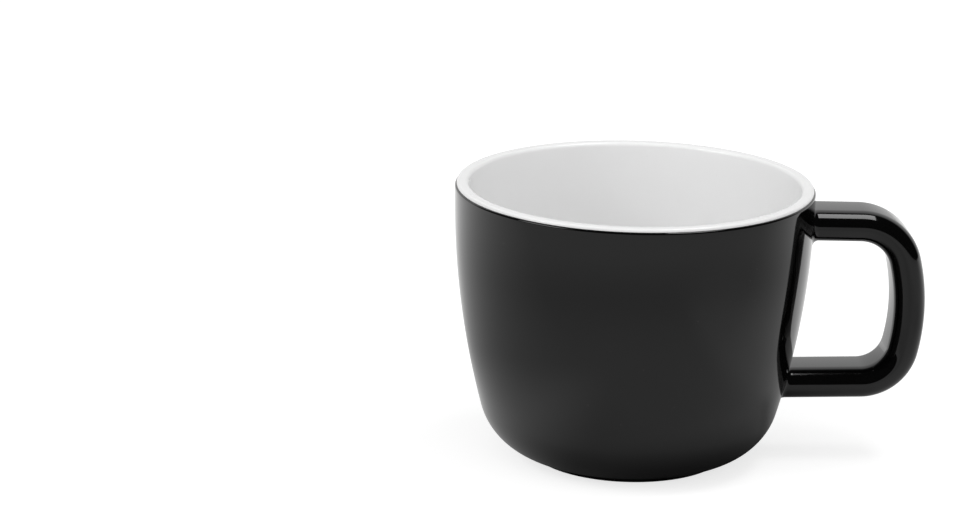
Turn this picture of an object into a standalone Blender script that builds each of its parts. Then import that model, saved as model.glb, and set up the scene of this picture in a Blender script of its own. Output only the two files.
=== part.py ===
# Cappuccino cup moulded in two colours: a black outer shell on a low foot ring, a white
# liner whose lip caps the shell, and a black loop handle that grows out of the shell.
# Metres, +Z up. The foot stands on Z = 0 and the handle points along +X.

from math import acos, asin, atan2, cos, pi, radians, sin, sqrt, tan

import bmesh
import bpy

# Outer shape of the body
RIM_RADIUS = 0.0454
CUP_HEIGHT = 0.0712
RIM_BAND = 0.0024  # upright stretch under the rim, before the wall draws in
WALL_CURVE_RADIUS = 0.213  # the wall's long curve, seen from the side
BASE_CORNER_RADIUS = 0.0163  # round corner from the wall to the base

# Foot ring, with a recess inside it
FOOT_RADIUS = 0.025
FOOT_WIDTH = 0.0026
FOOT_HEIGHT = 0.0008  # of the recess, which is level with the base corner's lowest point
FOOT_EDGE_RADIUS = 0.0004

# Walls, and the space left between two pieces that touch on the real cup
SHELL_WALL = 0.0015
LINER_WALL = 0.0014
JOINT_GAP = 0.0003

# The shell's upper edge and the liner's lip above it
SHELL_EDGE_RADIUS = 0.0006
LIP_HEIGHT = 0.0008
LIP_SETBACK = 0.00045  # how far the lip stays inside the shell's outer face
LIP_OUTER_RADIUS = 0.0006
LIP_INNER_RADIUS = 0.0019

# Handle: two nearly level bars, and a bowed back between two round corners
HANDLE_REACH = 0.0743  # from the cup's axis to the back's outer face
HANDLE_THICKNESS = 0.008  # of the bar, in the plane of the loop
HANDLE_WIDTH = 0.0166  # of the bar, across the loop
HANDLE_EDGE_DEPTH = 0.0045  # of the rounded edge on each side of the bar's flat faces
UPPER_BAR_HEIGHT = 0.0616  # middle of the bar, where it leaves the shell
UPPER_BAR_SLOPE = radians(-0.6)  # climb away from the shell
LOWER_BAR_HEIGHT = 0.0201
LOWER_BAR_SLOPE = radians(1)
UPPER_CORNER_RADIUS = 0.0121  # along the middle of the bar
LOWER_CORNER_RADIUS = 0.0109
BACK_CURVE_RADIUS = 0.0513
BACK_CURVE_HEIGHT = 0.0398  # where the bowed back stands out furthest
ROOT_FILLET_RADIUS = 0.0015  # where a bar runs into the shell
ROOT_EDGE_ANGLE = radians(35)  # slope at which the fillet stops, short of a knife edge

# How finely round shapes are divided
TURN_STEPS = 64
WALL_STEPS = 6
CORNER_STEPS = 6
EDGE_STEPS = 3
SECTION_EDGE_STEPS = 15
BEND_STEPS = 11
BACK_STEPS = 8
FILLET_STEPS = 4
CAP_RINGS = (0.75, 0.5, 0.25)
SMOOTH_ANGLE = radians(35)
WELD_DISTANCE = 0.00001

WHOLE_WALL = SHELL_WALL + JOINT_GAP + LINER_WALL
BAND_FOOT = CUP_HEIGHT - RIM_BAND  # height where the wall's long curve starts
BACK_CURVE_X = HANDLE_REACH - HANDLE_THICKNESS / 2 - BACK_CURVE_RADIUS
UPPER_BAR = (1, UPPER_BAR_HEIGHT, UPPER_BAR_SLOPE)  # 1 where the loop's outside faces up
LOWER_BAR = (-1, LOWER_BAR_HEIGHT, LOWER_BAR_SLOPE)
AXIS_X = (RIM_RADIUS - HANDLE_REACH) / 2  # centres the whole cup over the origin


def arc(centre, radius, start, end, steps):
    """Points of an arc in the XZ plane, both ends included."""
    angles = [start + (end - start) * i / steps for i in range(steps + 1)]
    return [(centre[0] + radius * cos(a), centre[1] + radius * sin(a)) for a in angles]


def corner_centre():
    """Centre of the base's round corner, which touches both the base and the wall's curve."""
    height = FOOT_HEIGHT + BASE_CORNER_RADIUS
    between = WALL_CURVE_RADIUS - BASE_CORNER_RADIUS
    inward = sqrt(between**2 - (BAND_FOOT - height) ** 2)
    return RIM_RADIUS - WALL_CURVE_RADIUS + inward, height


def wall_turn():
    """How far the wall's long curve turns before the base's corner takes over."""
    between = WALL_CURVE_RADIUS - BASE_CORNER_RADIUS
    return asin((BAND_FOOT - corner_centre()[1]) / between)


def wall_curve(inset):
    """The wall's long curve from the base's corner to the rim band, at a depth in the wall."""
    centre = (RIM_RADIUS - WALL_CURVE_RADIUS, BAND_FOOT)
    return arc(centre, WALL_CURVE_RADIUS - inset, -wall_turn(), 0, WALL_STEPS)


def inner_outline(inset):
    """Floor, corner and wall at a depth in the wall, from the axis to the rim band."""
    corner = arc(
        corner_centre(), BASE_CORNER_RADIUS - inset, -pi / 2, -wall_turn(), CORNER_STEPS
    )
    return [(0, FOOT_HEIGHT + inset)] + corner + wall_curve(inset)[1:]


def foot_outline():
    """Outside of the base from the axis: recess, foot ring and round corner."""
    inner = FOOT_RADIUS - FOOT_WIDTH
    edge = min(FOOT_EDGE_RADIUS, FOOT_WIDTH / 3, FOOT_HEIGHT)
    ring = arc((inner + edge, edge), edge, pi, 1.5 * pi, EDGE_STEPS)
    ring += arc((FOOT_RADIUS - edge, edge), edge, -pi / 2, 0, EDGE_STEPS)
    centre = corner_centre()
    start = -acos(max(0, FOOT_RADIUS - centre[0]) / BASE_CORNER_RADIUS)
    corner = arc(centre, BASE_CORNER_RADIUS, start, -wall_turn(), CORNER_STEPS)
    if FOOT_RADIUS < centre[0]:
        corner.insert(0, (FOOT_RADIUS, FOOT_HEIGHT))
    return [(0, FOOT_HEIGHT), (inner, FOOT_HEIGHT)] + ring + corner


def shell_profile():
    """Half section of the shell, up its inner face, over the edge and down its outer face."""
    top = CUP_HEIGHT - LIP_HEIGHT - JOINT_GAP
    edge = min(SHELL_EDGE_RADIUS, SHELL_WALL / 2)
    inside = inner_outline(SHELL_WALL) + [(RIM_RADIUS - SHELL_WALL, top)]
    over = arc((RIM_RADIUS - edge, top - edge), edge, pi / 2, 0, EDGE_STEPS)
    outside = foot_outline() + wall_curve(0)[1:]
    return inside + over + outside[::-1]


def liner_profile():
    """Half section of the liner, up its inner face, over the lip and down its outer face."""
    lip_width = WHOLE_WALL - LIP_SETBACK
    outer_edge = min(LIP_OUTER_RADIUS, LIP_HEIGHT, lip_width / 2)
    inner_edge = min(LIP_INNER_RADIUS, lip_width - outer_edge)
    inner_face = RIM_RADIUS - WHOLE_WALL
    outer_face = RIM_RADIUS - LIP_SETBACK
    crown = CUP_HEIGHT - inner_edge
    over = arc((inner_face + inner_edge, crown), inner_edge, pi, pi / 2, 2 * EDGE_STEPS)
    crown = CUP_HEIGHT - outer_edge
    over += arc((outer_face - outer_edge, crown), outer_edge, pi / 2, 0, EDGE_STEPS)
    seat = CUP_HEIGHT - LIP_HEIGHT
    under = [(outer_face, seat), (RIM_RADIUS - SHELL_WALL - JOINT_GAP, seat)]
    outside = inner_outline(SHELL_WALL + JOINT_GAP)
    return inner_outline(WHOLE_WALL) + over + under + outside[::-1]


def without_repeats(points):
    """The points in order, less any that lies on the one before it."""
    kept = points[:1]
    for point in points[1:]:
        gap = sqrt((point[0] - kept[-1][0]) ** 2 + (point[1] - kept[-1][1]) ** 2)
        if gap > WELD_DISTANCE:
            kept.append(point)
    return kept


def turned(name, profile):
    """An object turned about its Z axis from a half section in the XZ plane."""
    points = without_repeats(profile)
    mesh = bpy.data.meshes.new(name)
    edges = [(i, i + 1) for i in range(len(points) - 1)]
    mesh.from_pydata([(x, 0, z) for x, z in points], edges, [])
    turned_object = bpy.data.objects.new(name, mesh)
    screw = turned_object.modifiers.new("turn", "SCREW")
    screw.steps = TURN_STEPS
    screw.render_steps = TURN_STEPS
    screw.use_merge_vertices = True
    screw.merge_threshold = WELD_DISTANCE
    screw.use_smooth_shade = True
    return turned_object


def shell_radius(height):
    """Radius of the shell's outer face at a height."""
    if height >= BAND_FOOT:
        return RIM_RADIUS
    centre = corner_centre()
    if height >= BAND_FOOT - WALL_CURVE_RADIUS * sin(wall_turn()):
        across = sqrt(WALL_CURVE_RADIUS**2 - (BAND_FOOT - height) ** 2)
        return RIM_RADIUS - WALL_CURVE_RADIUS + across
    below = min(centre[1] - height, BASE_CORNER_RADIUS)
    return centre[0] + sqrt(BASE_CORNER_RADIUS**2 - below**2)


def shell_face_x(y, z):
    """Where a line along X meets the shell's outer face on the handle's side."""
    return sqrt(shell_radius(z) ** 2 - y**2)


def bar_section(grow=0, scale=1):
    """The bar's section as (out of the loop, across the loop) pairs.

    Each side is half an ellipse, and two flat faces lie between them, however narrow the bar.
    """
    edge = min(HANDLE_EDGE_DEPTH, 0.45 * HANDLE_WIDTH)
    flat = HANDLE_WIDTH / 2 - edge
    points = []
    for side in (1, -1):
        for i in range(SECTION_EDGE_STEPS + 1):
            turn = pi * i / SECTION_EDGE_STEPS
            out = side * (HANDLE_THICKNESS / 2 + grow) * cos(turn)
            across = side * (flat + (edge + grow) * sin(turn))
            points.append((scale * out, scale * across))
    return points


def root_ring(bar, section, clearance):
    """A ring of a bar that keeps one distance from the shell all round."""
    side, height, slope = bar
    ring = []
    for out, across in section:
        z = height + side * out + tan(slope) * clearance
        ring.append((shell_face_x(across, z) + clearance, across, z))
    return ring


def root_rings(bar):
    """Rings of a bar's end, from the middle of its end face to the last one of its fillet."""
    angles = [
        ROOT_EDGE_ANGLE + (pi / 2 - ROOT_EDGE_ANGLE) * i / FILLET_STEPS
        for i in range(FILLET_STEPS + 1)
    ]
    widest = ROOT_FILLET_RADIUS * (1 - sin(ROOT_EDGE_ANGLE))
    rings = [
        root_ring(bar, bar_section(widest, share), JOINT_GAP)
        for share in reversed(CAP_RINGS)
    ]
    for angle in angles:
        away = ROOT_FILLET_RADIUS * (cos(ROOT_EDGE_ANGLE) - cos(angle))
        section = bar_section(ROOT_FILLET_RADIUS * (1 - sin(angle)))
        rings.append(root_ring(bar, section, JOINT_GAP + away))
    return rings


def bend_rings(centre, radius, start, end, steps):
    """Rings round a bend. The angles say where the section's outer side points, from +X."""
    rings = []
    for i in range(steps + 1):
        angle = start + (end - start) * i / steps
        rings.append(
            [
                (
                    centre[0] + (radius + out) * cos(angle),
                    across,
                    centre[1] + (radius + out) * sin(angle),
                )
                for out, across in bar_section()
            ]
        )
    return rings


def corner_of(bar, radius):
    """Centre of the round corner that joins a bar to the back, and its angles at both ends."""
    side, height, slope = bar
    out = (-side * sin(slope), side * cos(slope))
    root = (shell_face_x(0, height), height)
    above = (root[0] - BACK_CURVE_X) * out[0] + (root[1] - BACK_CURVE_HEIGHT) * out[1] - radius
    along = sqrt((BACK_CURVE_RADIUS - radius) ** 2 - above**2)
    x = above * out[0] + along * cos(slope)
    z = above * out[1] + along * sin(slope)
    return (BACK_CURVE_X + x, BACK_CURVE_HEIGHT + z), side * pi / 2 + slope, atan2(z, x)


def handle_rings():
    """Rings of the whole handle, from the upper root round the back to the lower root."""
    back = (BACK_CURVE_X, BACK_CURVE_HEIGHT)
    upper_centre, upper_end, upper_turn = corner_of(UPPER_BAR, UPPER_CORNER_RADIUS)
    lower_centre, lower_end, lower_turn = corner_of(LOWER_BAR, LOWER_CORNER_RADIUS)
    upper = bend_rings(upper_centre, UPPER_CORNER_RADIUS, upper_end, upper_turn, BEND_STEPS)
    bow = bend_rings(back, BACK_CURVE_RADIUS, upper_turn, lower_turn, BACK_STEPS)
    lower = bend_rings(lower_centre, LOWER_CORNER_RADIUS, lower_turn, lower_end, BEND_STEPS)
    return root_rings(UPPER_BAR) + upper + bow[1:-1] + lower + root_rings(LOWER_BAR)[::-1]


def lofted(name, rings, end_points):
    """An object skinned over rings of equal count, with a fan to a point at each end."""
    shape = bmesh.new()
    rows = [[shape.verts.new(point) for point in ring] for ring in rings]
    count = len(rows[0])
    for row, following in zip(rows, rows[1:]):
        for i in range(count):
            j = (i + 1) % count
            shape.faces.new((row[i], row[j], following[j], following[i]))
    for row, point in ((rows[0], end_points[0]), (rows[-1], end_points[1])):
        tip = shape.verts.new(point)
        for i in range(count):
            shape.faces.new((row[i], row[(i + 1) % count], tip))
    bmesh.ops.recalc_face_normals(shape, faces=shape.faces)
    mesh = bpy.data.meshes.new(name)
    shape.to_mesh(mesh)
    shape.free()
    mesh.shade_smooth()
    mesh.set_sharp_from_angle(angle=SMOOTH_ANGLE)
    return bpy.data.objects.new(name, mesh)


def make_handle():
    """The loop handle, flared where its bars meet the shell and hollowed to the shell's curve."""
    tips = [
        (shell_face_x(0, height) + JOINT_GAP, 0, height)
        for _, height, _ in (UPPER_BAR, LOWER_BAR)
    ]
    return lofted("handle", handle_rings(), tips)


def gloss_plastic(name, colour, roughness):
    """Hard glossy melamine in one colour."""
    material = bpy.data.materials.new(name)
    material.use_nodes = True
    shader = material.node_tree.nodes["Principled BSDF"]
    shader.inputs["Base Color"].default_value = (*colour, 1)
    shader.inputs["Roughness"].default_value = roughness
    shader.inputs["Metallic"].default_value = 0
    return material


def clear_scene():
    """Takes out every object that the file opened with."""
    for old in list(bpy.data.objects):
        bpy.data.objects.remove(old, do_unlink=True)


def build():
    """Makes the three pieces and hangs them on an empty that stands on the cup's axis."""
    clear_scene()
    parts = bpy.data.collections.new("cappuccino_cup")
    bpy.context.scene.collection.children.link(parts)
    axis = bpy.data.objects.new("cup_axis", None)
    axis.location = (AXIS_X, 0, 0)
    axis.empty_display_size = RIM_RADIUS / 2
    parts.objects.link(axis)
    black_shell = gloss_plastic("black_shell", (0.006, 0.006, 0.006), 0.05)
    black_handle = gloss_plastic("black_handle", (0.006, 0.006, 0.006), 0.06)
    white_liner = gloss_plastic("white_liner", (0.78, 0.78, 0.78), 0.12)
    pieces = (
        (turned("outer_shell", shell_profile()), black_shell),
        (turned("inner_liner", liner_profile()), white_liner),
        (make_handle(), black_handle),
    )
    for piece, material in pieces:
        piece.data.materials.append(material)
        piece.parent = axis
        parts.objects.link(piece)


build()
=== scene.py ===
from math import acos, asin, atan2, cos, degrees, pi, radians, sin, sqrt, tan

import bmesh
import bpy
from mathutils import Matrix, Vector


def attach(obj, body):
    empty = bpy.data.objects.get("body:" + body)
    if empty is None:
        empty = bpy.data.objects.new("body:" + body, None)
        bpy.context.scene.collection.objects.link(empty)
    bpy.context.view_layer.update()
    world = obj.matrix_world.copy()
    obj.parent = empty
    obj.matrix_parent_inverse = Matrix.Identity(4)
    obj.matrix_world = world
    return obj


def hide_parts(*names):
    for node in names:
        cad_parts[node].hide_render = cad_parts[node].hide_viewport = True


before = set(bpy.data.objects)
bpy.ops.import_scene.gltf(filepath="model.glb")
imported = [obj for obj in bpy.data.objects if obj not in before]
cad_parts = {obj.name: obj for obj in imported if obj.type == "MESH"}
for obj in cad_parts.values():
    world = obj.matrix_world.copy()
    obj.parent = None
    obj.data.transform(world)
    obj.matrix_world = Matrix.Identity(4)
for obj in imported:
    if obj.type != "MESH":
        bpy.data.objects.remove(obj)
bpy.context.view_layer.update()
print("frame loaded:", ", ".join(sorted(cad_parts)))

mm = 0.001

# What the modelling itself needs, in millimetres and degrees.
modelling = {
    "weld": 0.002,  # points nearer than this become one
    "pick": 0.01,  # how near a point lies to the place where it is looked for
    "level": 0.001,  # points this near to a plane count as lying on it
    "smoothAngle": 40,
}

# The turned body, shared by the black outside and the white inside. Sizes are in millimetres.
cupBody = {
    "axisX": -14.45,  # where the body's own axis stands
    "rimRadius": 45.4,
    "height": 71.2,
    "rimBand": 2.4,  # upright stretch under the rim
    "wallCurve": 213.0,  # the wall's long curve, seen from the side
    "baseCorner": 16.3,  # round corner from the wall to the base
    "baseHeight": 0.8,  # the corner's lowest point, above the table
    "turnSteps": 240,
    "hiddenWallSteps": 14,  # where black and white meet
    "hiddenCornerSteps": 10,
}


def wallCentre():
    return cupBody["rimRadius"] - cupBody["wallCurve"], cupBody["height"] - cupBody["rimBand"]


def cornerCentre():
    height = cupBody["baseHeight"] + cupBody["baseCorner"]
    between = cupBody["wallCurve"] - cupBody["baseCorner"]
    return wallCentre()[0] + sqrt(between**2 - (wallCentre()[1] - height) ** 2), height


def wallTurn():  # degrees that the wall's long curve turns through
    rise = wallCentre()[1] - cornerCentre()[1]
    return degrees(asin(rise / (cupBody["wallCurve"] - cupBody["baseCorner"])))


def deselectAll():
    if bpy.context.mode != "OBJECT":
        bpy.ops.object.mode_set(mode="OBJECT")
    bpy.ops.object.select_all(action="DESELECT")


def spot(x, z):  # a place on the half section, in metres
    return Vector(((cupBody["axisX"] + x) * mm, 0, z * mm))


def drawHalfSection(name, start, moves):
    # A plane is merged to one point, and that point is drawn along lines and round arcs.
    deselectAll()
    bpy.ops.mesh.primitive_plane_add(size=mm)
    piece = bpy.context.object
    piece.name = name
    bpy.ops.object.mode_set(mode="EDIT")
    bpy.ops.mesh.merge(type="CENTER")
    bpy.ops.transform.translate(value=spot(*start))
    pen = start
    for kind, target, *turn in moves:
        if kind == "line":
            step = spot(*target) - spot(*pen)
            bpy.ops.mesh.extrude_vertices_move(TRANSFORM_OT_translate={"value": step})
            pen = target
        else:
            sweep, steps = radians(turn[0]), turn[1]
            bpy.ops.mesh.spin(steps=steps, angle=sweep, center=spot(*target), axis=(0, 1, 0))
            arm = Vector((pen[0] - target[0], pen[1] - target[1]))
            arm = Matrix.Rotation(sweep, 2) @ arm
            pen = (target[0] + arm.x, target[1] + arm.y)
    return piece


def closeUp():
    bpy.ops.mesh.select_all(action="SELECT")
    bpy.ops.mesh.remove_doubles(threshold=modelling["weld"] * mm)
    bpy.ops.mesh.normals_make_consistent(inside=False)
    deselectAll()


def turnBody():
    # The half section goes once round the axis, then the seam and both poles are closed.
    steps, axis = cupBody["turnSteps"], (0, 0, 1)
    bpy.ops.mesh.select_all(action="SELECT")
    bpy.ops.mesh.spin(steps=steps, angle=2 * pi, center=spot(0, 0), axis=axis)
    closeUp()


def selectRing(piece, radius, height):
    # Picks the ring of edges at this distance from the axis and this height.
    bpy.ops.mesh.select_all(action="DESELECT")
    mesh = bmesh.from_edit_mesh(piece.data)
    reach = modelling["pick"] * mm
    for edge in mesh.edges:
        near = []
        for corner in edge.verts:
            away = Vector((corner.co.x - cupBody["axisX"] * mm, corner.co.y)).length
            near.append(abs(away - radius * mm) < reach)
            near.append(abs(corner.co.z - height * mm) < reach)
        edge.select_set(all(near))
    mesh.select_flush_mode()
    bmesh.update_edit_mesh(piece.data)


def roundRing(piece, radius, height, size, segments):
    bpy.context.view_layer.objects.active = piece
    piece.select_set(True)
    bpy.ops.object.mode_set(mode="EDIT")
    bpy.ops.mesh.select_mode(type="EDGE")
    selectRing(piece, radius, height)
    bpy.ops.mesh.bevel(offset=size * mm, segments=segments, profile=0.5, affect="EDGES")
    bpy.ops.mesh.select_mode(type="VERT")
    deselectAll()


def finish(piece, node, material):
    deselectAll()
    piece.select_set(True)
    bpy.context.view_layer.objects.active = piece
    bpy.ops.object.shade_smooth_by_angle(angle=radians(modelling["smoothAngle"]))
    piece.select_set(False)
    piece.data.materials.clear()
    piece.data.materials.append(material)
    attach(piece, "root")
    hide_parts(node)
    print(piece.name, "made,", len(piece.data.polygons), "faces")


shell = {
    "wall": 1.5,
    "topDrop": 0.84,  # from the top of the lip down to the shell's edge
    "edgeRound": 0.5,
    "footRadius": 25.0,
    "footWidth": 2.6,
    "footRound": 0.4,
    "footFillet": 0.3,  # on both sides of the foot, where it meets the base
    "recessRing": 1.5,  # plain ring of the base that the inner fillet can run into
    "wallSteps": 40,
    "cornerSteps": 28,
    "edgeSteps": 6,
    "footSteps": 5,
    "filletSteps": 4,
}


def makeShell(material):
    rim, band, turn = cupBody["rimRadius"], wallCentre()[1], wallTurn()
    top, base = cupBody["height"] - shell["topDrop"], cupBody["baseHeight"]
    edge, soft, corner = shell["edgeRound"], shell["footRound"], cornerCentre()
    foot, inner = shell["footRadius"], shell["footRadius"] - shell["footWidth"]
    footAngle = degrees(acos((foot - corner[0]) / cupBody["baseCorner"]))
    footTop = corner[1] - cupBody["baseCorner"] * sin(radians(footAngle))
    piece = drawHalfSection("outerShell", (0, base + shell["wall"]), [
        ("line", (corner[0], base + shell["wall"])),
        ("arc", corner, 90 - turn, cupBody["hiddenCornerSteps"]),
        ("arc", wallCentre(), turn, cupBody["hiddenWallSteps"]),
        ("line", (rim - shell["wall"], top)),
        ("line", (rim - edge, top)),
        ("arc", (rim - edge, top - edge), -90, shell["edgeSteps"]),
        ("line", (rim, band)),
        ("arc", wallCentre(), -turn, shell["wallSteps"]),
        ("arc", corner, turn - footAngle, shell["cornerSteps"]),
        ("line", (foot, soft)),
        ("arc", (foot - soft, soft), -90, shell["footSteps"]),
        ("line", (inner + soft, 0)),
        ("arc", (inner + soft, soft), -90, shell["footSteps"]),
        ("line", (inner, base)),
        ("line", (inner - shell["recessRing"], base)),
        ("line", (0, base)),
    ])
    turnBody()
    roundRing(piece, foot, footTop, shell["footFillet"], shell["filletSteps"])
    roundRing(piece, inner, base, shell["footFillet"], shell["filletSteps"])
    finish(piece, "outer_shell", material)


liner = {
    "wall": 3.5,  # from the shell's outer face to the inside of the cup
    "lipHeight": 0.8,
    "lipSetback": 0.45,  # how far the lip stays inside the shell's outer face
    "outerRound": 0.6,
    "innerRound": 1.0,
    "seam": 0.05,  # between the white and the black that it lies against
    "wallSteps": 36,
    "cornerSteps": 24,
    "innerSteps": 12,
    "outerSteps": 8,
}


def makeLiner(material):
    rim, band, turn = cupBody["rimRadius"], wallCentre()[1], wallTurn()
    top, base, corner = cupBody["height"], cupBody["baseHeight"], cornerCentre()
    inside, outside = rim - liner["wall"], rim - liner["lipSetback"]
    big, small = liner["innerRound"], liner["outerRound"]
    seat, back = top - liner["lipHeight"], shell["wall"] + liner["seam"]
    piece = drawHalfSection("innerLiner", (0, base + liner["wall"]), [
        ("line", (corner[0], base + liner["wall"])),
        ("arc", corner, 90 - turn, liner["cornerSteps"]),
        ("arc", wallCentre(), turn, liner["wallSteps"]),
        ("line", (inside, top - big)),
        ("arc", (inside + big, top - big), -90, liner["innerSteps"]),
        ("line", (outside - small, top)),
        ("arc", (outside - small, top - small), -90, liner["outerSteps"]),
        ("line", (outside, seat)),
        ("line", (rim - back, seat)),
        ("line", (rim - back, band)),
        ("arc", wallCentre(), -turn, cupBody["hiddenWallSteps"]),
        ("arc", corner, turn - 90, cupBody["hiddenCornerSteps"]),
        ("line", (0, base + back)),
    ])
    turnBody()
    finish(piece, "inner_liner", material)


handle = {
    "reach": 74.27,  # from the body's axis to the back's outer face
    "thickness": 7.96,
    "widest": 0.15,  # how far the widest line lies outside the bar's middle
    "width": 16.6,
    "edgeDepth": 4.4,  # of the round edge on each side of the bar's flat faces
    "upperBar": 61.65,  # where the bar leaves the shell
    "upperSlope": -0.6,  # degrees of climb away from the shell
    "upperCorner": 12.1,  # along the middle of the bar
    "upperFillet": 1.5,
    "lowerBar": 20.06,
    "lowerSlope": 1.0,
    "lowerCorner": 10.9,
    "lowerFillet": 1.2,
    "backCurve": 51.3,
    "backHeight": 39.85,
    "filletStart": 6.0,  # degrees off the shell where the fillet leaves it
    "sunkEnd": 0.5,  # how deep the bars reach into the shell
    "rootHeight": 12.0,  # a bar's root lies within this of the bar's own height
    "rootSlack": 0.05,
    "edgeSteps": 12,
    "filletSteps": 8,
    "cornerSteps": 22,
    "backSteps": 26,
}


def shellRadius(height):
    centre, wall = cornerCentre(), wallCentre()
    if height >= wall[1]:
        return cupBody["rimRadius"]
    if height >= wall[1] - cupBody["wallCurve"] * sin(radians(wallTurn())):
        return wall[0] + sqrt(cupBody["wallCurve"] ** 2 - (wall[1] - height) ** 2)
    return centre[0] + sqrt(cupBody["baseCorner"] ** 2 - (centre[1] - height) ** 2)


def shellFace(y, z):  # where a line along X meets the shell, from the body's axis
    return sqrt(shellRadius(z) ** 2 - y**2)


def filletRings(bar):
    # Rings from the shell to the bar, as (distance from the shell, growth of the section).
    radius, first, count = handle[bar + "Fillet"], handle["filletStart"], handle["filletSteps"]
    turns = [radians(first + (90 - first) * i / count) for i in range(count + 1)]
    start = radius * cos(radians(first))
    rings = [(start - radius * cos(turn), radius * (1 - sin(turn))) for turn in turns]
    return [(-handle["sunkEnd"], rings[0][1])] + rings


def barPlace(bar, away):
    # The bar's middle at a distance from the shell.
    face = shellFace(0, handle[bar + "Bar"])
    return face + away, handle[bar + "Bar"] + tan(radians(handle[bar + "Slope"])) * away


def resizeSection(bar, away, fromGrowth, toGrowth):
    # Both bars widen into the shell. The upper one also grows down, and its top stays straight.
    wide, thick = handle["width"] / 2, handle["thickness"]
    down = (thick + toGrowth) / (thick + fromGrowth) if bar == "upper" else 1
    x, z = barPlace(bar, away)
    ratio = (1, (wide + toGrowth) / (wide + fromGrowth), down)
    bpy.ops.transform.resize(value=ratio, center_override=spot(x, z + thick / 2))


def growBar(bar, rings):
    for (away, growth), (nextAway, nextGrowth) in zip(rings, rings[1:]):
        step = spot(*barPlace(bar, nextAway)) - spot(*barPlace(bar, away))
        bpy.ops.mesh.extrude_region_move(TRANSFORM_OT_translate={"value": step})
        resizeSection(bar, nextAway, growth, nextGrowth)


def tiltSection(place, turn):
    bpy.ops.transform.rotate(value=radians(turn), orient_axis="Y", center_override=spot(*place))


def selectSide(piece, side):
    bpy.ops.mesh.select_all(action="DESELECT")
    mesh = bmesh.from_edit_mesh(piece.data)
    for corner in mesh.verts:
        corner.select_set(side * corner.co.z > modelling["level"] * mm)
    bmesh.update_edit_mesh(piece.data)


def startSection(bar, away, growth):
    # A plane with its corners bevelled into half rounds, then pressed to the bar's thickness.
    edge, steps, middle = handle["edgeDepth"], handle["edgeSteps"], (0, 0, 0)
    bpy.ops.mesh.primitive_plane_add(size=mm)
    piece = bpy.context.object
    bpy.ops.object.mode_set(mode="EDIT")
    bpy.ops.transform.rotate(value=pi / 2, orient_axis="Y", center_override=middle)
    bpy.ops.transform.resize(value=(1, handle["width"], 2 * edge), center_override=middle)
    bpy.ops.mesh.bevel(
        offset=edge * mm, segments=steps, profile=0.5, affect="VERTICES", clamp_overlap=True
    )
    bpy.ops.mesh.remove_doubles(threshold=modelling["pick"] * mm)
    for side in (1, -1):
        selectSide(piece, side)
        half = handle["thickness"] / 2 - side * handle["widest"]
        bpy.ops.transform.resize(value=(1, 1, half / edge), center_override=middle)
    bpy.ops.mesh.select_all(action="SELECT")
    rise = Vector((0, 0, handle["widest"] * mm))
    bpy.ops.transform.translate(value=spot(*barPlace(bar, away)) + rise)
    resizeSection(bar, away, 0, growth)
    bpy.ops.mesh.select_mode(type="FACE")
    bpy.ops.mesh.select_all(action="SELECT")
    return piece


def settleRoots(piece):
    # The flat rings at both roots are pushed along X until they follow the shell's round face.
    mesh = bmesh.from_edit_mesh(piece.data)
    for bar in ("upper", "lower"):
        height = handle[bar + "Bar"]
        face = shellFace(0, height)
        reach = spot(face + handle[bar + "Fillet"] + handle["rootSlack"], 0).x
        for corner in mesh.verts:
            y, z = corner.co.y / mm, corner.co.z / mm
            if corner.co.x < reach and abs(z - height) < handle["rootHeight"]:
                corner.co.x += (shellFace(y, z) - face) * mm
    bmesh.update_edit_mesh(piece.data)


def backCentre():
    return handle["reach"] - handle["thickness"] / 2 - handle["backCurve"], handle["backHeight"]


def cornerOf(bar, side):
    # Centre of the corner that joins a bar to the back, and its angles at both ends.
    radius, slope = handle[bar + "Corner"], radians(handle[bar + "Slope"])
    along = Vector((cos(slope), sin(slope)))
    out = Vector((-side * sin(slope), side * cos(slope)))
    back = Vector(backCentre())
    above = (Vector(barPlace(bar, 0)) - back).dot(out) - radius
    toCentre = above * out + sqrt((handle["backCurve"] - radius) ** 2 - above**2) * along
    return back + toCentre, side * pi / 2 + slope, atan2(toCentre.y, toCentre.x)


def barEnd(bar, centre, angle):
    # Where the bar meets its corner, and how far from the shell that is.
    place = centre + handle[bar + "Corner"] * Vector((cos(angle), sin(angle)))
    return place, place.x - barPlace(bar, 0)[0]


def makeHandle(material):
    deselectAll()
    upperRings, lowerRings = filletRings("upper"), filletRings("lower")
    upperCentre, upperEnd, upperTurn = cornerOf("upper", 1)
    lowerCentre, lowerEnd, lowerTurn = cornerOf("lower", -1)
    upperPlace, upperLength = barEnd("upper", upperCentre, upperEnd)
    lowerLength = barEnd("lower", lowerCentre, lowerEnd)[1]
    piece = startSection("upper", *upperRings[0])
    piece.name = "loopHandle"
    growBar("upper", upperRings + [(upperLength, 0)])
    tiltSection(upperPlace, handle["upperSlope"])
    for centre, turn, steps in (
        (upperCentre, upperTurn - upperEnd, handle["cornerSteps"]),
        (backCentre(), lowerTurn - upperTurn, handle["backSteps"]),
        (lowerCentre, lowerEnd - lowerTurn, handle["cornerSteps"]),
    ):
        bpy.ops.mesh.spin(steps=steps, angle=turn, center=spot(*centre), axis=(0, 1, 0))
    lowerRun = [(lowerLength, 0)] + lowerRings[::-1]
    growBar("lower", lowerRun[:2])
    tiltSection(barPlace("lower", lowerRun[1][0]), -handle["lowerSlope"])
    growBar("lower", lowerRun[1:])
    settleRoots(piece)
    bpy.ops.mesh.select_mode(type="VERT")
    closeUp()
    finish(piece, "handle", material)


# Effects that both plastics share. A noise is given as its cells in a metre and its detail.


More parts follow.
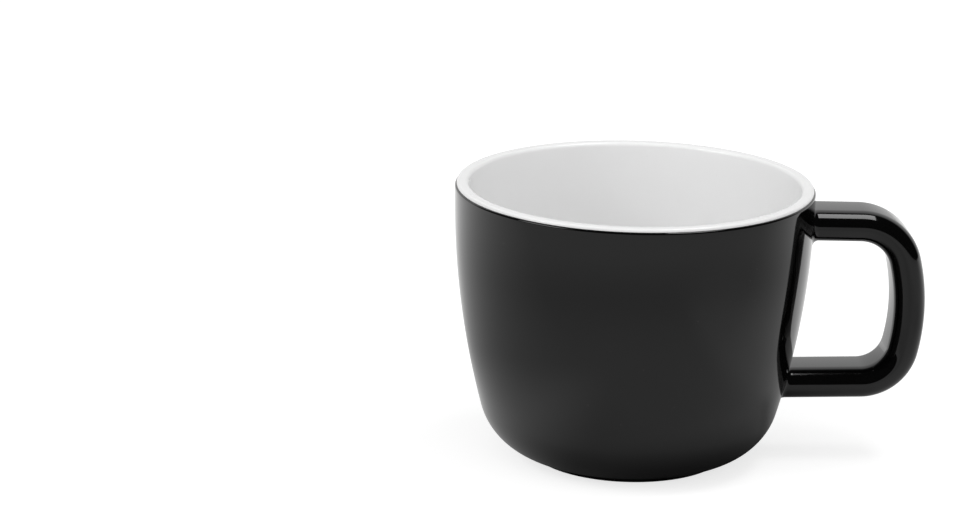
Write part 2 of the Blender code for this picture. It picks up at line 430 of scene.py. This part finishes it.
def newGroup(name, inputs, output):
    group = bpy.data.node_groups.new(name, "ShaderNodeTree")
    kind, sockets = "NodeSocketFloat", group.interface
    for label, value, low, high in inputs:
        socket = sockets.new_socket(name=label, in_out="INPUT", socket_type=kind)
        socket.default_value, socket.min_value, socket.max_value = value, low, high
    sockets.new_socket(name=output, in_out="OUTPUT", socket_type=kind)
    return group, group.nodes.new("NodeGroupInput"), group.nodes.new("NodeGroupOutput")


def setOrLink(tree, socket, value):
    if isinstance(value, (int, float)):
        socket.default_value = value
    else:
        tree.links.new(value, socket)


def mathNode(tree, operation, *values):
    node = tree.nodes.new("ShaderNodeMath")
    node.operation = operation
    for socket, value in zip(node.inputs, values):
        setOrLink(tree, socket, value)
    return node.outputs[0]


def rangeNode(tree, value, span, target=(0.0, 1.0), smooth=True):
    node = tree.nodes.new("ShaderNodeMapRange")
    node.interpolation_type = "SMOOTHSTEP" if smooth else "LINEAR"
    tree.links.new(value, node.inputs["Value"])
    for label, number in zip(("From Min", "From Max", "To Min", "To Max"), (*span, *target)):
        setOrLink(tree, node.inputs[label], number)
    return node.outputs["Result"]


def objectPlace(tree):
    return tree.nodes.new("ShaderNodeTexCoord").outputs["Object"]


def splitPlace(tree, place):
    node = tree.nodes.new("ShaderNodeSeparateXYZ")
    tree.links.new(place, node.inputs["Vector"])
    return node.outputs


def vectorNode(tree, operation, place, other):
    node = tree.nodes.new("ShaderNodeVectorMath")
    node.operation = operation
    tree.links.new(place, node.inputs[0])
    node.inputs[1].default_value = other
    return node.outputs["Value"]


def noiseNode(tree, place, cells, detail):
    node = tree.nodes.new("ShaderNodeTexNoise")
    node.inputs["Scale"].default_value = cells
    node.inputs["Detail"].default_value = detail
    tree.links.new(place, node.inputs["Vector"])
    return node.outputs["Fac"]


hairlines = {
    "directions": (((20, 35, 10), 1.0), ((70, -25, 60), 0.8), ((-40, 80, 130), 1.2)),
    "cells": (60, 2600, 700),  # in a metre, along a scratch and across it
    "thin": (0.70, 0.76),
    "patchNoise": (55, 2),
    "patches": (0.45, 0.7),
}


def makeHairlines():
    # Fine scratches a few millimetres long, in three directions.
    group, inside, outside = newGroup("hairlines", [("Amount", 1, 0, 1)], "Mask")
    place = objectPlace(group)
    total = 0
    for turn, scale in hairlines["directions"]:
        mapping = group.nodes.new("ShaderNodeMapping")
        mapping.inputs["Rotation"].default_value = [radians(angle) for angle in turn]
        mapping.inputs["Scale"].default_value = [scale * cells for cells in hairlines["cells"]]
        group.links.new(place, mapping.inputs["Vector"])
        lines = noiseNode(group, mapping.outputs["Vector"], 1, 1)
        total = mathNode(group, "MAXIMUM", rangeNode(group, lines, hairlines["thin"]), total)
    patchNoise = noiseNode(group, place, *hairlines["patchNoise"])
    seen = mathNode(group, "MULTIPLY", total, rangeNode(group, patchNoise, hairlines["patches"]))
    mask = mathNode(group, "MULTIPLY", seen, inside.outputs["Amount"])
    group.links.new(mask, outside.inputs["Mask"])
    return group


dustSpecks = {
    "cells": 620,  # in a metre
    "dot": (0.10, 0.05),  # from bare to covered, in cells from the middle of one
    "chosen": (0.955, 0.96),  # only about one cell in twenty has a speck
    "upward": (-0.2, 0.9),
    "amount": (0.25, 1),  # facing down and facing up
}


def makeDust():
    # Sparse specks of a tenth of a millimetre or so, thicker where the surface faces up.
    group, inside, outside = newGroup("dustSpecks", [("Amount", 1, 0, 1)], "Mask")
    cells = group.nodes.new("ShaderNodeTexVoronoi")
    cells.inputs["Scale"].default_value = dustSpecks["cells"]
    group.links.new(objectPlace(group), cells.inputs["Vector"])
    chance = group.nodes.new("ShaderNodeSeparateColor")
    group.links.new(cells.outputs["Color"], chance.inputs["Color"])
    dot = rangeNode(group, cells.outputs["Distance"], dustSpecks["dot"])
    chosen = rangeNode(group, chance.outputs["Red"], dustSpecks["chosen"])
    normal = splitPlace(group, group.nodes.new("ShaderNodeNewGeometry").outputs["Normal"])
    upward = rangeNode(group, normal["Z"], dustSpecks["upward"], dustSpecks["amount"])
    seen = mathNode(group, "MULTIPLY", mathNode(group, "MULTIPLY", dot, chosen), upward)
    mask = mathNode(group, "MULTIPLY", seen, inside.outputs["Amount"])
    group.links.new(mask, outside.inputs["Mask"])
    return group


mouldSkin = {
    "waveNoise": (70, 1),
    "fineNoise": (900, 2),
    "fineShare": 0.04,  # of the wave's height
}


def makeMouldSkin():
    # What a polished mould leaves: a slow wave in the surface and a fine, shallow skin.
    inputs = [("Wave", 1, 0, 4), ("Skin", 1, 0, 4)]
    group, inside, outside = newGroup("mouldSkin", inputs, "Height")
    place = objectPlace(group)
    slow = noiseNode(group, place, *mouldSkin["waveNoise"])
    wave = mathNode(group, "MULTIPLY", slow, inside.outputs["Wave"])
    quick = noiseNode(group, place, *mouldSkin["fineNoise"])
    skin = mathNode(group, "MULTIPLY", quick, inside.outputs["Skin"])
    height = mathNode(group, "MULTIPLY_ADD", skin, mouldSkin["fineShare"], wave)
    group.links.new(height, outside.inputs["Height"])
    return group


footWear = {
    "height": 0.0006,  # in metres
    "noise": (420, 3),
    "patches": (0.3, 0.65),
    "amount": (0.35, 1),
}


def makeFootWear():
    # Rubbed where the cup stands: strongest on the lowest half millimetre.
    inputs = [("Height", footWear["height"], 0, 0.1)]
    group, inside, outside = newGroup("footWear", inputs, "Mask")
    place = objectPlace(group)
    low = rangeNode(group, splitPlace(group, place)["Z"], (inside.outputs["Height"], 0.0))
    patchNoise = noiseNode(group, place, *footWear["noise"])
    uneven = rangeNode(group, patchNoise, footWear["patches"], footWear["amount"])
    group.links.new(mathNode(group, "MULTIPLY", low, uneven), outside.inputs["Mask"])
    return group


effects = {
    "hairlines": makeHairlines(),
    "dust": makeDust(),
    "skin": makeMouldSkin(),
    "foot": makeFootWear(),
}
print("shared surface effects made")

blackFinish = {
    "colour": (0.0012, 0.0012, 0.0012),
    "cloudColour": (0.0020, 0.0020, 0.0020),
    "cloudNoise": (30, 3),
    "gloss": (0.045, 0.075),
    "dust": 0.5,
    "dustColour": (0.28, 0.27, 0.26),
    "hairlines": 0.6,
    "wave": 1.0,
    "skin": 1.0,
}

whiteFinish = {
    "colour": (0.90, 0.90, 0.90),
    "cloudColour": (0.885, 0.885, 0.885),
    "cloudNoise": (24, 3),
    "gloss": (0.17, 0.22),
    "dust": 0.35,
    "dustColour": (0.42, 0.40, 0.38),
    "hairlines": 0.5,
    "wave": 1.0,
    "skin": 1.2,
}

# What both finishes have in common
plastic = {
    "ior": 1.5,
    "noiseMiddle": (0.3, 0.7),  # the part of a noise that fills its whole range
    "glossNoise": (38, 3),
    "hairlineRough": 0.12,
    "dustRough": 0.5,
    "footRough": 0.35,
    "hairlineHeight": -0.25,  # cut into the skin
    "bumpDepth": 0.000012,
}


def placeEffect(tree, name, **values):
    node = tree.nodes.new("ShaderNodeGroup")
    node.node_tree = effects[name]
    for label, value in values.items():
        node.inputs[label].default_value = value
    return node.outputs[0]


def mixColours(tree, mask, below, above):
    node = tree.nodes.new("ShaderNodeMix")
    node.data_type = "RGBA"
    tree.links.new(mask, node.inputs["Factor"])
    sockets = [socket for socket in node.inputs if socket.type == "RGBA"]
    for socket, value in zip(sockets, (below, above)):
        if isinstance(value, tuple):
            socket.default_value = (*value, 1)
        else:
            tree.links.new(value, socket)
    return next(socket for socket in node.outputs if socket.type == "RGBA")


def makePlastic(name, values):
    material = bpy.data.materials.new(name)
    material.use_nodes = True
    tree = material.node_tree
    shader = tree.nodes["Principled BSDF"]
    place, middle = objectPlace(tree), plastic["noiseMiddle"]
    dust = placeEffect(tree, "dust", Amount=values["dust"])
    lines = placeEffect(tree, "hairlines", Amount=values["hairlines"])
    foot = placeEffect(tree, "foot")
    skin = placeEffect(tree, "skin", Wave=values["wave"], Skin=values["skin"])
    cloud = rangeNode(tree, noiseNode(tree, place, *values["cloudNoise"]), middle)
    clouded = mixColours(tree, cloud, values["colour"], values["cloudColour"])
    dusted = mixColours(tree, dust, clouded, values["dustColour"])
    tree.links.new(dusted, shader.inputs["Base Color"])
    gloss = noiseNode(tree, place, *plastic["glossNoise"])
    rough = rangeNode(tree, gloss, middle, values["gloss"])
    for mask, amount in ((lines, "hairlineRough"), (dust, "dustRough"), (foot, "footRough")):
        rough = mathNode(tree, "MULTIPLY_ADD", mask, plastic[amount], rough)
    tree.links.new(rough, shader.inputs["Roughness"])
    bump = tree.nodes.new("ShaderNodeBump")
    bump.inputs["Strength"].default_value = 1
    bump.inputs["Distance"].default_value = plastic["bumpDepth"]
    height = mathNode(tree, "MULTIPLY_ADD", lines, plastic["hairlineHeight"], skin)
    tree.links.new(height, bump.inputs["Height"])
    tree.links.new(bump.outputs["Normal"], shader.inputs["Normal"])
    shader.inputs["IOR"].default_value = plastic["ior"]
    shader.inputs["Metallic"].default_value = 0
    print(name, "plastic made")
    return material


black = makePlastic("blackMelamine", blackFinish)
white = makePlastic("whiteMelamine", whiteFinish)

makeShell(black)
makeLiner(white)
makeHandle(black)


# Studio, in metres

floorValues = {
    "size": 6.0,
    "colour": (0.50, 0.50, 0.50),
    "background": 0.73,  # added where the camera sees the floor itself
    "centre": (-0.00867, 0, 0),  # where distances are measured from
    "backward": (-0.065, 0.993, 0),  # the way to the back of the studio
    # Painted shadow: the floor's colour is made darker under the cup's edge, and only
    # reflections see it.
    "paintedShadow": 0.86,  # how much darker the mirrored floor is under the cup's edge
    "paintedShadowFade": (0.030, 0.056),
}

# Painted light: areas where the floor glows only in reflections, on top of the floor's own
# light, so the black mirrors them brighter.
# Each area has its strength, and fades in from the first number to the second of each line.
paintedReflectionGlow = {
    "back": (0.60, [("backward", -0.08, 0.22), ("distance", 0.05, 0.16)]),
    "front": (0.13, [("distance", 0.15, 0.26)]),
    "near": (0.085, [("distance", 0.024, 0.044), ("distance", 0.17, 0.09)]),
    "left": (0.50, [("X", -0.03, -0.075), ("distance", 0.10, 0.05)]),
    "right": (0.10, [("X", 0.040, 0.070), ("X", 0.180, 0.090), ("Y", -0.19, -0.09)]),
}


def mirrorRays(tree, rays):
    glossy, passing = rays.outputs["Is Glossy Ray"], rays.outputs["Is Transmission Ray"]
    return mathNode(tree, "MAXIMUM", glossy, passing)


def addAreas(tree, places):
    total = 0
    for strength, fades in paintedReflectionGlow.values():
        area = strength
        for way, none, full in fades:
            fade = rangeNode(tree, places[way], (none, full), smooth=way != "backward")
            area = mathNode(tree, "MULTIPLY", fade, area)
        total = mathNode(tree, "ADD", area, total)
    return total


def makeFloor():
    deselectAll()
    bpy.ops.mesh.primitive_plane_add(size=floorValues["size"])
    floor = bpy.context.object
    floor.name = "studioFloor"
    material = bpy.data.materials.new("paleFloor")
    material.use_nodes = True
    tree = material.node_tree
    tree.nodes.clear()
    rays = tree.nodes.new("ShaderNodeLightPath")
    mirrored, place = mirrorRays(tree, rays), objectPlace(tree)
    distance = vectorNode(tree, "DISTANCE", place, floorValues["centre"])
    backward = vectorNode(tree, "DOT_PRODUCT", place, floorValues["backward"])
    split = splitPlace(tree, place)
    places = {"distance": distance, "backward": backward, "X": split["X"], "Y": split["Y"]}
    paint = tree.nodes.new("ShaderNodeBsdfDiffuse")
    # Painted shadow, seen only in reflections: the floor's colour goes darker near the cup's
    # foot.
    paintedShadow = rangeNode(tree, distance, floorValues["paintedShadowFade"], (floorValues["paintedShadow"], 0))
    paintedShadowMask = mathNode(tree, "MULTIPLY", mirrored, paintedShadow)
    colour = mixColours(tree, paintedShadowMask, floorValues["colour"], (0, 0, 0))
    tree.links.new(colour, paint.inputs["Color"])
    glow = tree.nodes.new("ShaderNodeEmission")
    # Painted light: the floor glows in these areas for reflection rays only.
    paintedReflectionLift = mathNode(tree, "MULTIPLY", mirrored, addAreas(tree, places))
    seen, background = rays.outputs["Is Camera Ray"], floorValues["background"]
    lift = mathNode(tree, "MULTIPLY_ADD", seen, background, paintedReflectionLift)
    tree.links.new(lift, glow.inputs["Strength"])
    both = tree.nodes.new("ShaderNodeAddShader")
    tree.links.new(paint.outputs[0], both.inputs[0])
    tree.links.new(glow.outputs[0], both.inputs[1])
    out = tree.nodes.new("ShaderNodeOutputMaterial")
    tree.links.new(both.outputs[0], out.inputs["Surface"])
    floor.data.materials.append(material)
    print("floor laid")


worldValues = {
    "mirrored": (0.02, 1.08),  # what the black mirrors, in front and behind the cup
    "backward": (0.035, 0.999, 0),
    "backRange": (0.40, 0.64),
    "ambient": 0.77,
    "ambientSlope": (0.03, -0.95, -0.15),  # brighter in front and low down
}


def makeWorld():
    # The camera sees white all round. What lights the cup is soft, and comes from the front.
    world = bpy.data.worlds.new("studioWorld")
    bpy.context.scene.world = world
    world.use_nodes = True
    tree = world.node_tree
    tree.nodes.clear()
    direction = tree.nodes.new("ShaderNodeTexCoord").outputs["Generated"]
    rays = tree.nodes.new("ShaderNodeLightPath")
    mirrored, seen = mirrorRays(tree, rays), rays.outputs["Is Camera Ray"]
    backward = vectorNode(tree, "DOT_PRODUCT", direction, worldValues["backward"])
    behind = rangeNode(tree, backward, worldValues["backRange"], worldValues["mirrored"])
    straight = mathNode(tree, "MULTIPLY_ADD", behind, mirrored, seen)
    other = mathNode(tree, "SUBTRACT", 1, mathNode(tree, "MAXIMUM", mirrored, seen))
    slope = vectorNode(tree, "DOT_PRODUCT", direction, worldValues["ambientSlope"])
    around = mathNode(tree, "MAXIMUM", mathNode(tree, "ADD", slope, 1), 0)
    ambient = mathNode(tree, "MULTIPLY", around, worldValues["ambient"])
    level = mathNode(tree, "MULTIPLY_ADD", other, ambient, straight)
    sky = tree.nodes.new("ShaderNodeBackground")
    tree.links.new(level, sky.inputs["Strength"])
    out = tree.nodes.new("ShaderNodeOutputWorld")
    tree.links.new(sky.outputs[0], out.inputs["Surface"])
    print("world set")


# The overhead lamp's first size runs from front to back.
lamps = {
    "overhead": {"place": (0.32, 0.02, 1.05), "size": (0.62, 0.30), "power": 3.0},
    "leftSide": {"place": (-0.9635, -0.3671, 0.75), "size": (0.60, 0.60), "power": 3.9},
}
lampTarget = Vector((0, 0, 0.05))


def makeLamp(name, values):
    light = bpy.data.lights.new(name + "Softbox", "AREA")
    light.shape = "RECTANGLE"
    light.size, light.size_y = values["size"]
    light.energy = values["power"]
    lamp = bpy.data.objects.new(name + "Softbox", light)
    lamp.location = values["place"]
    aim = lampTarget - lamp.location
    lamp.rotation_euler = aim.to_track_quat("-Z", "Y").to_euler()
    bpy.context.collection.objects.link(lamp)
    print(name, "lamp hung")


photoView = {
    "place": (-0.080007, -0.803089, 0.278442),
    "turn": -2.0,  # degrees, seen from above
    "pitch": 0.27425,  # radians below the horizon
    "roll": 0.0182,  # radians
    "lens": 122.474,
    "sensor": 36,
    "clip": (0.05, 20),
}


def makeCamera():
    pitch, roll = photoView["pitch"], photoView["roll"]
    forward = Vector((0, cos(pitch), -sin(pitch)))
    level, upright = Vector((1, 0, 0)), Vector((0, sin(pitch), cos(pitch)))
    right = cos(roll) * level + sin(roll) * upright
    up = cos(roll) * upright - sin(roll) * level
    data = bpy.data.cameras.new("photoCamera")
    data.sensor_width, data.lens = photoView["sensor"], photoView["lens"]
    data.clip_start, data.clip_end = photoView["clip"]
    camera = bpy.data.objects.new("photoCamera", data)
    turn = Matrix.Rotation(radians(photoView["turn"]), 3, "Z")
    camera.matrix_world = (turn @ Matrix((right, up, -forward)).transposed()).to_4x4()
    camera.location = photoView["place"]
    bpy.context.collection.objects.link(camera)
    bpy.context.scene.camera = camera
    print("camera placed")


makeFloor()
makeWorld()
for lampName, lampValues in lamps.items():
    makeLamp(lampName, lampValues)
makeCamera()
bpy.context.scene.view_settings.view_transform = "Standard"
